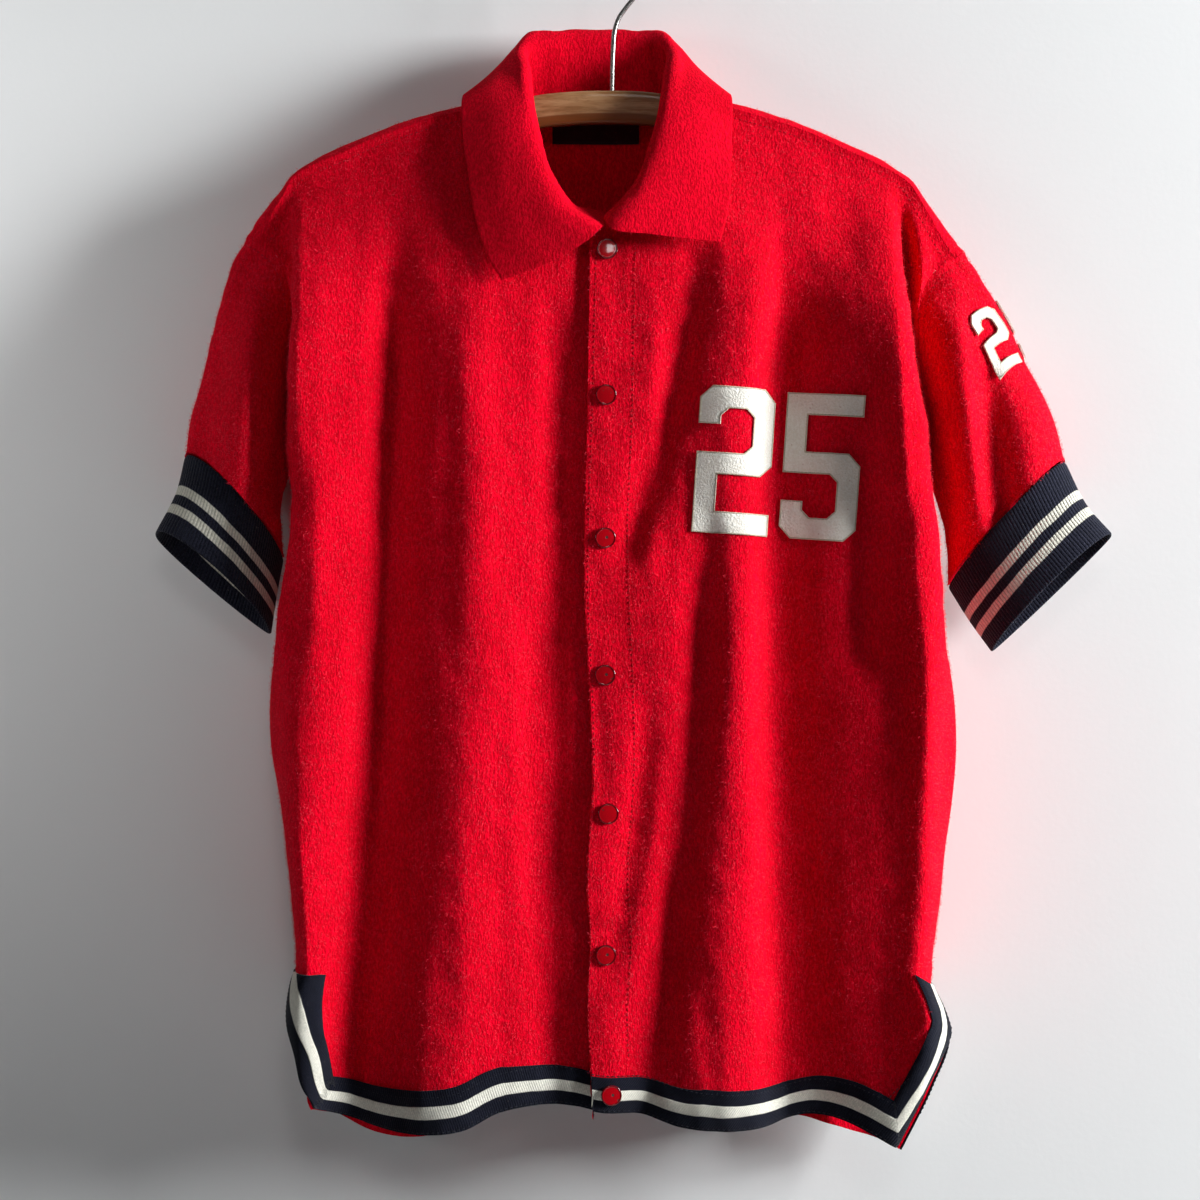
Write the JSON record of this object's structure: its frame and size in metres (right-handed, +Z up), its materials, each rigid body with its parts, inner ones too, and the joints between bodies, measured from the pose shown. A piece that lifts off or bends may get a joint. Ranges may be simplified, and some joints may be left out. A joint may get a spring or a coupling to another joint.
{
  "type": "fleece warm-up jacket",
  "caption": "Short-sleeved fleece warm-up jacket with a folded collar, a snapped front, striped cuffs and hem tape, hanging on a wooden hanger.",
  "frame": {"origin": "inner top of the loop of the hanger's hook, where it bears on a rail or a nail", "axes": "+Z up, the front of the jacket faces -Y and +X is the wearer's left"},
  "size_m": [0.6891, 0.1003, 0.8698],
  "materials": {
    "red_fleece": "napped wool fleece, red, matt",
    "navy_knit": "fine rib knit, navy with two cream stripes, matt",
    "navy_braid": "woven tape, navy with one cream stripe, matt",
    "black_label": "woven satin, black",
    "cream_felt": "pressed wool felt, cream, matt",
    "red_enamel": "gloss enamel, chipped",
    "varnished_wood": "clear varnish, worn",
    "steel_wire": "dull drawn wire"
  },
  "bodies": {
    "root": {"back": "red_fleece", "chest_digit_a": "cream_felt", "chest_digit_b": "cream_felt", "collar": "red_fleece", "cuff_left": "navy_knit", "cuff_right": "navy_knit", "front_left": "red_fleece", "front_right": "red_fleece", "hanger_bar": "varnished_wood", "hanger_hook": "steel_wire", "label": "black_label", "sleeve_digit_a": "cream_felt", "sleeve_digit_b": "cream_felt", "sleeve_left": "red_fleece", "sleeve_right": "red_fleece", "snap_1": "red_enamel", "snap_2": "red_enamel", "snap_3": "red_enamel", "snap_4": "red_enamel", "snap_5": "red_enamel", "snap_6": "red_enamel", "snap_7": "red_enamel", "tape_back": "navy_braid", "tape_front_left": "navy_braid", "tape_front_right": "navy_braid"}
  },
  "joints": []
}
